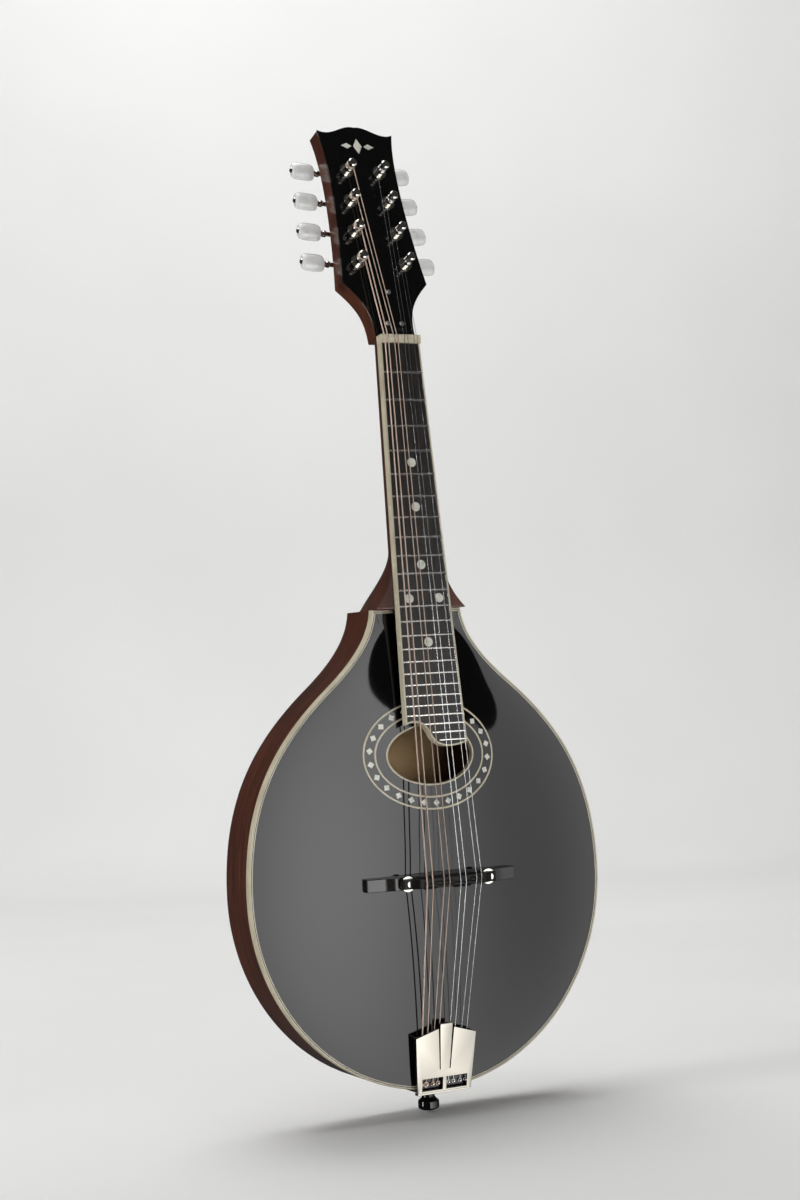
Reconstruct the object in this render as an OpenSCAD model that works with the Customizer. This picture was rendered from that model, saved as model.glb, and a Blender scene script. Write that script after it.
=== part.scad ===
// Oval-hole mandolin with an arched top, an adjustable bridge and eight geared tuners.
// +Z runs up the neck, the face looks towards -Y and the bass side is -X.
// The origin lies on the neck's centre line, level with the nut's front edge, halfway through the neck.

/* [Scale and neck] */
// Open string length, from the nut to the bridge
scale_length = 352.4; // [348:0.1:356]
// Width of the fingerboard at the nut
nut_width = 29; // [28:0.5:31]
// Width of the fingerboard at the twelfth fret
board_width = 38.9; // [37:0.1:40]
// Backward tilt of the neck against the body's rim
neck_tilt = 5.24; // [4.5:0.01:6]
// Height of the fret tops above the rim at the twelfth fret
fret_rise = 13.3; // [12.5:0.1:14.5]
// Thickness of the fingerboard at its middle
board_thick = 5.6; // [5:0.1:6]
// Crown radius of the fingerboard
board_radius = 305; // [250:5:400]
// Depth of the neck behind the fingerboard, at the nut
shaft_depth = 12.5; // [12:0.5:14]

/* [Body] */
// Half width of the straight shoulder edge that the neck meets
shoulder = 32.5; // [32:0.5:34]
// Half width of the body where it is widest
bout = 128.4; // [126:0.1:131]
// Distance of the widest place from the shoulder edge
bout_at = 179.5; // [176:0.5:183]
// Length of the body from the shoulder edge to the tail
body_length = 314; // [312:0.5:316]
// Depth of the rim between the top and the back
rim_depth = 40; // [38:0.5:42]
// Height of the top's arch above the rim
top_arch = 15; // [14:0.5:15.5]
// Height of the back's arch behind the rim
back_arch = 13; // [11:0.5:15]
// Thickness of the bent sides, which is also the width of the edge binding
side_thick = 2.3; // [2:0.1:2.6]
// Height of the edge binding
bind_height = 5.4; // [5:0.1:6]

/* [Soundhole and rosette] */
// Half width and half height of the oval soundhole
hole_half = [31, 19.1]; // [28:0.1:34]
// Distance of the soundhole's centre from the shoulder edge
hole_at = 95.6; // [94:0.1:97]
// Number of inlaid diamonds
diamonds = 26; // [20:1:30]

/* [Headstock and tuners] */
// Backward angle of the headstock against the neck
head_angle = 12.2; // [11:0.1:14]
// Thickness of the headstock with its veneer
head_thick = 14; // [13:0.5:15]
// Distance between neighbouring string posts
post_pitch = 23.5; // [23:0.1:24]

/* [Bridge and tailpiece] */
// Height of the strings above the rim at the bridge
string_rise = 33.2; // [33:0.1:34]
// Length of the bridge foot
foot_length = 108; // [104:1:112]
// Distance between the two height screws
stud_spacing = 58.6; // [57:0.1:60]

/* [Hidden] */
$fn = 48;
eps = 0.01;

// ---- Frames ----
// fret tops at the nut lie this far in front of the origin
fret_y = -10;
half_scale = scale_length / 2;
// the rim plane and the shoulder edge, found from the neck's tilt at the twelfth fret
rim_y = fret_y - half_scale * sin(neck_tilt) + fret_rise * cos(neck_tilt);
edge_z = -half_scale * cos(neck_tilt) - fret_rise * sin(neck_tilt);
// the headstock face starts behind the fret plane and just above the nut
head_drop = 6.2;
head_start = 6;

module on_neck() { translate([0, fret_y, 0]) rotate([-neck_tilt, 0, 0]) children(); }
module on_body() { translate([0, rim_y, edge_z]) children(); }
module on_head() { on_neck() translate([0, head_drop, head_start]) rotate([-head_angle, 0, 0]) children(); }
// points its children's +Z towards the player, with their +Y up the instrument
module facing_player() { rotate([90, 0, 0]) children(); }

// ---- Curves and grids ----
function bez(p, t) = pow(1 - t, 3) * p[0] + 3 * pow(1 - t, 2) * t * p[1]
    + 3 * (1 - t) * t * t * p[2] + t * t * t * p[3];
function bez_points(p, n) = [for (i = [0 : n - 1]) bez(p, i / n)];
function reversed(p) = [for (i = [len(p) - 1 : -1 : 0]) p[i]];
function mirrored(p) = [for (i = [len(p) - 2 : -1 : 0]) [-p[i].x, p[i].y]];
function unit(v) = v / norm(v);
// moves each point of a clockwise closed outline inwards by d
function inset(p, d) = [
    for (i = [0 : len(p) - 1])
        let (
            a = unit(p[i] - p[(i + len(p) - 1) % len(p)]),
            b = unit(p[(i + 1) % len(p)] - p[i]),
            m = unit(a + b),
            reach = d / max(0.5, sqrt((1 + a * b) / 2))
        )
        p[i] + reach * [m.y, -m.x]
];
// closed surface through rings of points; a looped one also joins its last ring to its first
module loft(rings, looped = false) {
    n = len(rings[0]);
    k = len(rings);
    walls = [
        for (r = [0 : k - (looped ? 1 : 2)], i = [0 : n - 1])
            each [
                [r * n + i, r * n + (i + 1) % n, ((r + 1) % k) * n + (i + 1) % n],
                [r * n + i, ((r + 1) % k) * n + (i + 1) % n, ((r + 1) % k) * n + i]
            ]
    ];
    caps = looped ? [] : [
        [for (i = [n - 1 : -1 : 0]) i],
        [for (i = [0 : n - 1]) (k - 1) * n + i]
    ];
    polyhedron([for (r = rings) each r], concat(walls, caps), convexity = 6);
}
// round string through a few points, with a flat end at each end
module tube(points, r, sides = 8) {
    last = len(points) - 1;
    loft([for (i = [0 : last]) let (
        t = unit(points[min(last, i + 1)] - points[max(0, i - 1)]),
        across = unit(cross(t, [1, 0, 0])),
        up = cross(t, across)
    ) [for (j = [0 : sides - 1]) let (a = -360 * j / sides)
        points[i] + r * (cos(a) * across + sin(a) * up)]]);
}
// square channel of half width w that follows a string from a to b and is open towards the player
module channel(a, b, w, bottom) {
    low = a.z < b.z ? a : b;
    v = (a.z < b.z ? b : a) - low;
    translate(low) rotate([0, acos(v.z / norm(v)), atan2(v.y, v.x)])
        rotate([0, 0, -atan2(v.y, v.x)]) translate([-w, -6, -0.5]) cube([2 * w, 6 + bottom, norm(v) + 1]);
}

// ---- Body outline, as [x, distance below the shoulder edge] ----
waist = [66.3, 49.5];
shoulder_curve = [[shoulder, 0], [shoulder + 1.5, 17], [46.2, 32.5], waist];
bout_curve = [waist, [104, 81.5], [bout, bout_at - 62.9], [bout, bout_at]];
tail_steps = 14;
half_outline = concat(
    bez_points(shoulder_curve, 9),
    bez_points(bout_curve, 12),
    [for (i = [0 : tail_steps]) [bout * cos(90 * i / tail_steps),
        bout_at + (body_length - bout_at) * sin(90 * i / tail_steps)]]
);
tail_index = len(half_outline) - 1;
outline = concat(half_outline, mirrored(half_outline));
// the outline as drawn on the body, with Z upwards, runs clockwise
function on_face(p) = [for (q = p) [q.x, -q.y]];
face_outline = on_face(outline);
plate_outline = inset(face_outline, side_thick);
lining_outline = inset(face_outline, side_thick + 5);

// ---- Arch of the plates ----
arch_centre = [0, -165];
function bearing(v) = atan2(v.x, -v.y);
shoulder_reach = plate_outline[0].y - arch_centre.y;
// distance from the arch's centre to the plate's edge, by bearing
rim_table = concat(
    [[180, shoulder_reach]],
    [for (q = plate_outline) [bearing(q - arch_centre), norm(q - arch_centre)]],
    [[-180, shoulder_reach]]
);
// the same distance averaged over neighbouring bearings, so that the shoulders' corners leave no crease
blend_steps = [-12 : 2 : 12];
blend_weights = [for (d = blend_steps) 1 - abs(d) / 14];
blend_sum = blend_weights * [for (w = blend_weights) 1];
function wrapped(b) = b > 180 ? b - 360 : b < -180 ? b + 360 : b;
soft_table = [
    for (b = [-180 : 2 : 180])
        [b, blend_weights * [for (d = blend_steps) lookup(wrapped(b + d), rim_table)] / blend_sum]
];
function rim_share(p) = let (q = p - arch_centre)
    norm(q) < eps ? 0 : min(1, norm(q) / lookup(bearing(q), soft_table));
function dome(p, power) = pow(1 - pow(rim_share(p), 2), power);
// the arch is steeper across the body than along it
function across(p) = let (q = p - arch_centre) norm(q) < eps ? 0 : pow(q.x / norm(q), 2);
function top_height(p) = top_arch * dome(p, 1.35 + 0.85 * across(p));
function back_height(p) = back_arch * dome(p, 1.2 + 0.6 * across(p));
top_edge = 3.5;
back_edge = 3;
function top_thick(p) = top_edge + 1.2 * dome(p, 1);
function back_thick(p) = back_edge + 1.2 * dome(p, 1);
// a point on the top, raised by lift above its lacquer, and one behind the back's inner face
function top_point(p, lift) = [p.x, -top_height(p) - lift, p.y];
function back_point(p, lift) = [p.x, rim_depth + back_height(p) - back_thick(p) - lift, p.y];

// ---- Soundhole and rosette ----
hole_centre = [0, -hole_at];
function oval(grow, n) = [
    for (i = [0 : n - 1])
        hole_centre + [(hole_half[0] + grow) * sin(360 * i / n), (hole_half[1] + grow) * cos(360 * i / n)]
];
oval_steps = 64;
// the three ivory lines, as distances outside the clear hole: [inner edge, outer edge]
hole_binding = [0, 1.1];
rosette_lines = [[7.8, 9], [15.6, 16.8]];
diamond_line = 12.3;
diamond_half = 2.3;
proud = 0.05;
inlay_depth = 0.9;

// ---- Fingerboard ----
function half_width(u) = nut_width / 2 + (board_width - nut_width) / scale_length * u;
function fret_at(n) = scale_length * (1 - pow(2, -n / 12));
fret_height = 1;
board_bind = 1.1;
bass_end = 253.3;
treble_end = 266.2;
full_frets = 21;
// the treble side runs on over the soundhole in an S-shaped curve
end_sweep = [[-half_width(bass_end), -bass_end], [-15, -249.8], [-8, -252.2], [-5, -260]];
end_hook = [[-5, -260], [-2.6, -266.2], [4, -271.4], [half_width(treble_end), -treble_end]];
board_top = 2;
board_outline = concat(
    [[half_width(-board_top), board_top]],
    reversed(concat(bez_points(end_sweep, 10), bez_points(end_hook, 12), [end_hook[3]])),
    [[-half_width(-board_top), board_top]]
);
board_back = fret_height + board_thick;
// where the three short frets of the extension begin
short_frets = [[22, -9.2], [23, -3.7], [24, 0.9]];
dot_frets = [5, 7, 10, 12, 15];
dot_r = 3.1;
nut_thick = 5.5;

// ---- Headstock ----
head_length = 160;
ear_at = 40;
// half outline as [x, height above the headstock's start]
neck_flare = [[nut_width / 2, 0], [14, 18], [17.5, 26], [31.5, ear_at]];
head_side = [[31.5, ear_at], [27, 72], [22, 128], [28.5, head_length - 4]];
head_crown = [[28.5, head_length - 4], [18, head_length - 9], [10, head_length + 2], [0, head_length]];
half_head = concat(
    bez_points(neck_flare, 8), bez_points(head_side, 10), bez_points(head_crown, 7), [[0, head_length]]
);
head_outline = concat(half_head, mirrored(half_head));

// ---- Tuners, in the frame of one plate: +Z along the posts, +X inwards on the bass side ----
plate_lean = 4.37;
plate_foot = 21.9;
first_post = 54.8;
worm_rise = 6.8;
plate_sheet = 1;
gear_teeth = 16;
gear_pitch_r = 4.7;
worm_pitch = 2 * PI * gear_pitch_r / gear_teeth;
worm_y = head_thick + 4.2;
post_r = 3;
post_top = 12.5;
string_lift = 4.6;
module on_plate(bass) {
    on_head() mirror([bass ? 0 : 1, 0, 0])
        translate([-plate_foot, 0, 0]) rotate([0, plate_lean, 0]) children();
}
// tuners 1 to 4 run up the bass side from the nut, 5 to 8 up the treble side
function post_height(k) = first_post + post_pitch * ((k - 1) % 4);
module on_tuner(k) { on_plate(k <= 4) translate([0, 0, post_height(k)]) children(); }

// ---- Points carried from one frame to another ----
function turn_x(v, a) = [v.x, v.y * cos(a) - v.z * sin(a), v.y * sin(a) + v.z * cos(a)];
function turn_y(v, a) = [v.x * cos(a) + v.z * sin(a), v.y, v.z * cos(a) - v.x * sin(a)];
function from_body(v) = v + [0, rim_y, edge_z];
function from_neck(v) = turn_x(v, -neck_tilt) + [0, fret_y, 0];
function from_head(v) = from_neck(turn_x(v, -head_angle) + [0, head_drop, head_start]);
function from_tuner(k, v) = let (q = turn_y(v + [0, 0, post_height(k)], plate_lean) - [plate_foot, 0, 0])
    from_head([k <= 4 ? q.x : -q.x, q.y, q.z]);

// ---- Bridge ----
bridge_at = (scale_length + 2.5) * cos(neck_tilt) + edge_z;
foot_width = 8.3;
foot_top = top_arch + 6.2;
stud_r = 1.9;
wheel_r = 5;
wheel_thick = 2.2;
wheel_floor = foot_top + 1.8;
saddle_floor = wheel_floor + wheel_thick + 0.05;
saddle_half = 34;
saddle_width = 6.4;
saddle_crown = 1.1;
// height of the strings over the bridge follows the fingerboard's crown
function string_height(x) = string_rise + saddle_crown * (1 - pow(x / 20, 2));

// ---- Tailpiece, in the frame of its sloping plate ----
tail_slope = 10.2;
tail_foot = 3.9;
tail_end = body_length + 1;
tail_sheet = 2;
hook_z = 5;
hook_r = 0.9;
// the strings run just under the plate, as far as its edge
tail_gap = tail_sheet + 0.12;
function lip_z(x) = abs(x) < 4.5 ? 45.6 : 37.7 + (22 - abs(x)) * 0.311;
button_y = 20;
module on_tail() { on_body() translate([0, -tail_foot, -tail_end]) rotate([tail_slope, 0, 0]) children(); }
function from_tail(v) = from_body(turn_x(v, tail_slope) + [0, -tail_foot, -tail_end]);
tail_outline = [
    [-19.6, 0], [19.6, 0], [22, 37.5], [5.6, 42.6], [3.6, 14.5], [4.5, 43], [4.4, 45.4],
    [-4.4, 45.4], [-4.5, 43], [-3.6, 14.5], [-5.6, 42.6], [-22, 37.5]
];

// ---- Strings ----
// bass to treble: [x at the nut, x at the bridge, x at the tailpiece, radius, tuner, set-back at the bridge]
strings = [
    [-11.95, -20, -16.2, 0.50, 1, 1.2], [-9.5, -16, -12.4, 0.50, 2, 1.2],
    [-4.95, -8, -7.6, 0.33, 3, 0], [-2.45, -4, -3.9, 0.33, 4, 0],
    [2.45, 4, 3.9, 0.20, 8, 1.5], [4.95, 8, 7.6, 0.20, 7, 1.5],
    [9.5, 16, 12.4, 0.14, 6, -0.5], [11.95, 20, 16.2, 0.14, 5, -0.5]
];
windings = 3;
function at_post(s) = from_tuner(s[4], [post_r + s[3] + 0.15, -string_lift, 0]);
function at_nut(s) = from_neck([s[0], -0.4 - s[3], nut_thick / 2]);
function at_saddle(s) = from_body([s[1], -string_height(s[1]) - s[3], -bridge_at - s[5]]);
function at_lip(s) = from_tail([s[2], tail_gap + s[3], lip_z(s[2])]);
function at_hook(s) = from_tail([s[2], tail_gap + s[3], hook_z + hook_r + 2 * s[3] + 0.25]);

// ---- Shapes shared by several sub-parts ----
// extrudes an [x, z] outline from y = back forwards to y = front
module slab(points, front, back) {
    translate([0, back, 0]) facing_player() linear_extrude(back - front) polygon(points);
}
// extrudes an [x, height] profile across the body between two distances below the shoulder edge
module profile_bar(points, from, to) {
    translate([0, 0, -to]) linear_extrude(to - from) polygon([for (p = points) [p.x, -p.y]]);
}
// the space behind the fingerboard's crown
module crowned() {
    intersection() {
        children();
        translate([0, fret_height + board_radius, -300]) cylinder(h = 310, r = board_radius, $fn = 900);
    }
}
// strip of constant section along an oval of the top
module oval_strip(line, depth) {
    inner = oval(line[0], oval_steps);
    outer = oval(line[1], oval_steps);
    loft([
        [for (p = inner) top_point(p, proud)], [for (p = outer) top_point(p, proud)],
        [for (p = outer) top_point(p, -depth)], [for (p = inner) top_point(p, -depth)]
    ], looped = true);
}
block_depth = 45;
tail_block_depth = 22;
head_block_outline = concat(
    [[-shoulder, 0], [shoulder, 0]],
    [for (q = plate_outline) if (q.y > -block_depth) q]
);
tail_curve = [for (q = plate_outline) if (q.y < -200 && abs(q.x) < 30) q];
tail_block_outline = concat(
    [[tail_curve[0].x, tail_block_depth - body_length]], tail_curve,
    [[-tail_curve[0].x, tail_block_depth - body_length]]
);
tenon = [[-9, 1], [9, 1], [12, -14], [-12, -14]];
// the plate rings get extra points along the straight shoulder edge
function with_shoulder(p) = concat(p, [for (x = [-0.5, 0, 0.5]) [x * shoulder, p[0].y]]);
plate_ring = with_shoulder(plate_outline);
back_ring = with_shoulder(face_outline);
// from the edge of the soundhole out to a point of the rim
function hole_edge(q, grow) = let (d = unit(q - hole_centre))
    hole_centre + d / norm([d.x / (hole_half[0] + grow), d.y / (hole_half[1] + grow)]);
function toward(a, b, t) = [for (i = [0 : len(a) - 1]) a[i] + t * (b[i] - a[i])];

// ---- Body ----
module soundboard() {
    shares = [0, 0.12, 0.25, 0.4, 0.55, 0.7, 0.82, 0.92, 1];
    hole = [for (q = plate_ring) hole_edge(q, hole_binding[1])];
    rings = [for (t = shares) toward(hole, plate_ring, t)];
    color("#101010") on_body() loft(concat(
        [for (r = rings) [for (p = r) top_point(p, 0)]],
        [for (r = reversed(rings)) [for (p = r) top_point(p, -top_thick(p))]]
    ), looped = true);
}
module back_plate() {
    shares = [0.05, 0.22, 0.4, 0.58, 0.72, 0.84, 0.93, 1];
    middle = [for (q = back_ring) arch_centre];
    rings = [for (t = shares) toward(middle, back_ring, t)];
    color("#5a2412") on_body() loft(concat(
        [for (r = rings) [for (p = r) back_point(p, 0)]],
        [for (r = reversed(rings)) [for (p = r) back_point(p, -back_thick(p))]]
    ));
}
module side(points, inner) {
    color("#6b2c16") on_body() slab(concat(points, reversed(inner)), bind_height, rim_depth - back_edge);
}
module bass_side() {
    side([for (i = [tail_index : len(outline) - 1]) face_outline[i]],
        [for (i = [tail_index : len(outline) - 1]) plate_outline[i]]);
}
module treble_side() {
    side([for (i = [0 : tail_index]) face_outline[i]], [for (i = [0 : tail_index]) plate_outline[i]]);
}
module linings() {
    lining_height = 9;
    color("#c9a06a") on_body()
        for (front = [top_edge + 0.5, rim_depth - back_edge - lining_height])
            translate([0, front + lining_height, 0]) facing_player() linear_extrude(lining_height) difference() {
                polygon(plate_outline);
                polygon(lining_outline);
                translate([-60, -block_depth]) square([120, block_depth + 5]);
                translate([-30, -body_length - 5]) square([60, 30]);
            }
}
module head_block() {
    color("#c9a06a") on_body() difference() {
        slab(head_block_outline, bind_height, rim_depth - back_edge);
        slab(tenon, bind_height + 1, 34);
    }
}
module tail_block() {
    color("#c9a06a") on_body() difference() {
        slab(tail_block_outline, top_edge, rim_depth - back_edge);
        translate([0, button_y, -body_length]) cylinder(h = 20, r = 3.05);
    }
}
module transverse_brace() {
    brace_at = 126;
    brace_width = 7;
    reach = 92;
    depth = 12;
    steps = 16;
    // top edge follows the soundboard's inner face, with a hair of glue
    function under(x) = min([for (s = [brace_at, brace_at + brace_width])
        top_height([x, -s]) - top_thick([x, -s])]) - 0.05;
    upper = [for (i = [0 : steps]) let (x = reach * (2 * i / steps - 1)) [x, under(x)]];
    lower = [for (i = [0 : steps]) let (x = reach * (2 * i / steps - 1))
        [x, under(x) - depth * sqrt(1 - pow(x / reach, 4)) - 1]];
    color("#d8b47c") on_body() profile_bar(concat(upper, reversed(lower)), brace_at, brace_at + brace_width);
}
module top_binding() {
    color("#e6ddc0") on_body() difference() {
        slab(face_outline, 0, bind_height);
        translate([0, -1, 0]) slab(plate_outline, 0, bind_height + 2);
    }
}
module rosette_rings() {
    color("#e6ddc0") on_body() {
        oval_strip(hole_binding, 4.2);
        for (line = rosette_lines) oval_strip(line, inlay_depth);
    }
}
module rosette_diamonds() {
    // equal steps along the oval, from a first-order correction of its angle
    a = hole_half[0] + diamond_line;
    b = hole_half[1] + diamond_line;
    swing = (a - b) / (a + b) / 2 * 180 / PI;
    color("#dfe6e6") on_body() for (i = [0 : diamonds - 1]) {
        turn = 360 * i / diamonds;
        t = turn - swing * sin(2 * turn);
        outward = unit([b * sin(t), a * cos(t)]);
        along = [outward.y, -outward.x];
        middle = hole_centre + [a * sin(t), b * cos(t)];
        corners = [for (v = [outward, along, -outward, -along]) middle + diamond_half * v];
        loft([[for (p = corners) top_point(p, -inlay_depth)], [for (p = corners) top_point(p, proud)]]);
    }
}
module label() {
    half = 30;
    columns = 8;
    rows = [-76, -85, -94, -103, -112, -121];
    color("#cdbb92") on_body() loft([
        for (z = rows) concat(
            [for (i = [0 : columns]) back_point([half * (2 * i / columns - 1), z], 0.35)],
            [for (i = [columns : -1 : 0]) back_point([half * (2 * i / columns - 1), z], 0.6)]
        )
    ]);
}

// ---- Neck and headstock ----
rod_y = 12.4;
rod_r = 2.4;
heel_start = 138;
heel_depth = rim_depth + fret_rise - board_back;
function smooth(t) = let (c = max(0, min(1, t))) c * c * (3 - 2 * c);
// half-round section at u below the nut, flaring into the heel
function shaft_ring(u, n) = let (
    t = (u - heel_start) / (half_scale - heel_start),
    c = max(0, t),
    w = half_width(u) - 0.2 + (shoulder - half_width(u)) * pow(c, 2.6),
    d = shaft_depth + 2 * min(1, max(0, u) / heel_start)
        + (heel_depth - shaft_depth - 2) * smooth(pow(c, 0.85) / 0.87),
    e = 0.8 - 0.38 * smooth(t)
) [for (i = [0 : n]) let (a = 180 * i / n)
    [-w * sign(cos(a)) * pow(abs(cos(a)), e), board_back + d * pow(sin(a), e), -u]];
module head_holes(r, depth) {
    for (k = [1 : 8]) on_tuner(k) translate([0, depth, 0]) facing_player() cylinder(h = depth + 2, r = r);
}
module rod_pocket() { on_head() translate([-5, -1, 2]) cube([10, 9.5, 20]); }
module neck() {
    stations = [-9, 0, 30, 70, 110, 130, 138, 144, 149, 153, 157, 161, 165, 169, 173, 177, 181, 186];
    color("#5a2412") {
        difference() {
            union() {
                difference() {
                    on_neck() loft([for (u = reversed(stations)) shaft_ring(u, 20)]);
                    on_body() translate([-60, -40, -60]) cube([120, 140, 60]);
                }
                on_head() slab(head_outline, 1.5, head_thick);
            }
            head_holes(4.2, head_thick + 1);
            rod_pocket();
            // room for the headstock's veneer
            on_head() translate([-40, -5, 0]) cube([80, 6.5, 20]);
            on_neck() translate([0, rod_y, -160]) cylinder(h = 175, r = rod_r + 0.1);
        }
        // riser that carries the fingerboard over the top
        intersection() {
            on_body() translate([-30, 0, 0]) rotate([90, 0, 90]) linear_extrude(60)
                polygon([[-0.4, 0], [-0.4, -1], [-11, -75], [-30, -75], [-30, 0]]);
            on_neck() slab([[-18, -170], [18, -170], [20, -252], [-20, -252]], board_back, 40);
        }
        // dovetail that locks the neck into the head block
        on_body() slab([for (p = tenon) [p.x * 0.99, min(0, p.y)]], bind_height + 1.2, 33.8);
    }
}
module headstock_overlay() {
    color("#0c0c0c") difference() {
        on_head() slab(head_outline, 0, 1.5);
        head_holes(4.2, head_thick);
        rod_pocket();
        on_head() ornament(0.8);
    }
}
// a plain lozenge between two leaves
module ornament(depth) {
    for (shape = [
        [[0, 139], [3.2, 145], [0, 151], [-3.2, 145]],
        [[4.6, 145], [8, 147.2], [12.4, 145], [8, 142.8]],
        [[-4.6, 145], [-8, 142.8], [-12.4, 145], [-8, 147.2]]
    ]) slab(shape, -proud, depth);
}
module heel_cap() {
    cap = [for (i = [0 : 12]) [20 * cos(15 * i), 4.5 * sin(15 * i)]];
    color("#0c0c0c") on_body() slab(cap, rim_depth + 0.5, rim_depth + 2.4);
}
module truss_rod() {
    color("#8a8d90") on_neck() {
        translate([0, rod_y, -158]) cylinder(h = 168, r = rod_r);
        translate([0, rod_y, 10.05]) difference() {
            cylinder(h = 7, r = 3.2, $fn = 6);
            translate([0, 0, 3]) cylinder(h = 5, r = 1.4, $fn = 6);
        }
    }
}
cover_screws = [[0, 32], [-5.2, 8.5], [5.2, 8.5]];
module truss_rod_cover() {
    half = concat(
        [[8, 5]],
        bez_points([[8, 5], [9, 16], [4.6, 18], [4.4, 27]], 8),
        bez_points([[4.4, 27], [4.4, 34], [2, 36], [0, 36.5]], 6),
        [[0, 36.5]]
    );
    color("#0c0c0c") on_head() difference() {
        slab(concat(half, mirrored(half)), -1.7, -0.05);
        for (p = cover_screws)
            translate([p.x, 0, p.y]) facing_player() translate([0, 0, -1]) cylinder(h = 4, r = 1);
    }
}
module fingerboard() {
    color("#1c1512") on_neck() difference() {
        crowned() intersection() {
            slab(inset(board_outline, board_bind), fret_height, board_back);
            translate([-40, 0, -300]) cube([80, 20, 300]);
        }
        dots(dot_r + 0.02, 1.3, 1);
    }
}
module fingerboard_binding() {
    color("#e6ddc0") on_neck() difference() {
        crowned() intersection() {
            slab(board_outline, fret_height, board_back);
            translate([-40, 0, -300]) cube([80, 20, 300]);
        }
        slab(inset(board_outline, board_bind), -1, 20);
        side_dots(1.02);
    }
}
module fret(n, from) {
    to = half_width(fret_at(n)) - board_bind - 0.05;
    r = board_radius;
    first = asin(from / r);
    color("#c9c9c9") translate([0, fret_height + r, -fret_at(n)]) rotate([0, 0, first - 90])
        rotate_extrude(angle = asin(to / r) - first, $fn = 360)
            polygon([
                [r, -0.75], [r + 0.6, -0.62], [r + 0.95, -0.25], [r + 0.95, 0.25], [r + 0.6, 0.62], [r, 0.75]
            ]);
}
module frets() {
    on_neck() {
        for (n = [1 : full_frets]) fret(n, -half_width(fret_at(n)) + board_bind + 0.05);
        for (short = short_frets) fret(short[0], short[1]);
    }
}
function dot_spots() = [for (n = dot_frets) let (u = (fret_at(n) + fret_at(n - 1)) / 2)
    each (n == 12 ? [[-11, -u], [11, -u]] : [[0, -u]])];
// discs set square to the crown, from depth behind its surface to rise in front of it
module dots(r, depth, rise) {
    for (p = dot_spots()) translate([0, fret_height + board_radius, p.y]) rotate([0, 0, asin(p.x / board_radius)])
        translate([0, depth - board_radius, 0]) facing_player() cylinder(h = depth + rise, r = r);
}
module side_dots(r) {
    for (n = dot_frets, shift = n == 12 ? [-2, 2] : [0]) let (u = (fret_at(n) + fret_at(n - 1)) / 2 + shift)
        translate([-half_width(u) - 0.1, 3.6, -u]) rotate([0, 90, 0]) cylinder(h = 0.9, r = r);
}
module pearl_inlays() {
    color("#dfe6e6") {
        on_neck() dots(dot_r, 1.25, -0.02);
        on_head() ornament(0.75);
    }
    color("#1c1512") on_neck() side_dots(1);
}
module nut() {
    color("#e9e2cd") difference() {
        on_neck() translate([-nut_width / 2, -1.1, 0.02]) cube([nut_width, board_back + 1.1, nut_thick]);
        for (s = strings, end = [at_saddle(s), at_post(s)]) channel(at_nut(s), end, s[3] + 0.06, s[3] + 0.02);
    }
}

// ---- Tuners ----
lug_spots = [-6.6, 5.1];
lug_thick = 1.5;
plate_screw_x = -6.5;
plate_screws = [for (j = [0 : 4]) first_post - 6.5 + j * (post_pitch - 0.6)];
module tuner_plate(bass) {
    color("#c4c6c8") on_plate(bass) difference() {
        union() {
            translate([-9, head_thick + 0.02, first_post - 10])
                cube([17, plate_sheet, 3 * post_pitch + 25]);
            for (k = [0 : 3], x = lug_spots) translate([x, 0, first_post + k * post_pitch + worm_rise]) {
                translate([0, head_thick + plate_sheet, -2.6])
                    cube([lug_thick, worm_y - head_thick - plate_sheet, 5.2]);
                translate([0, worm_y, 0]) rotate([0, 90, 0]) cylinder(h = lug_thick, r = 2.6);
            }
        }
        for (k = [0 : 3]) translate([0, 0, first_post + k * post_pitch]) {
            translate([0, head_thick + 3, 0]) facing_player() cylinder(h = 4, r = post_r + 0.05);
            translate([-10, worm_y, worm_rise]) rotate([0, 90, 0]) cylinder(h = 20, r = 1.55);
        }
        for (z = plate_screws)
            translate([plate_screw_x, head_thick + 3, z]) facing_player() cylinder(h = 4, r = 1.2);
    }
}
module bass_tuner_plate() { tuner_plate(true); }
module treble_tuner_plate() { tuner_plate(false); }
module tuner_bushings() {
    color("#c4c6c8") for (k = [1 : 8]) on_tuner(k) facing_player() difference() {
        union() {
            translate([0, 0, -9]) cylinder(h = 9, r = 4.15);
            cylinder(h = 0.9, r = 4.9);
        }
        translate([0, 0, -10]) cylinder(h = 12, r = post_r + 0.05);
    }
}
module screw(length, r, head_r) {
    rotate_extrude() polygon([[0, -length], [r * 0.4, -length + 1], [r, -length + 2.5], [r, -0.4],
        [head_r, 0], [head_r * 0.8, head_r * 0.4], [0, head_r * 0.55]]);
}
module small_screws() {
    color("#b9bbbd") {
        for (bass = [true, false], z = plate_screws) on_plate(bass)
            translate([plate_screw_x, head_thick + plate_sheet + 0.45, z]) rotate([-90, 0, 0]) screw(9, 1.1, 2);
        for (p = cover_screws) on_head() translate([p.x, -2.1, p.y]) facing_player() screw(7, 0.9, 1.7);
    }
}
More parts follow.
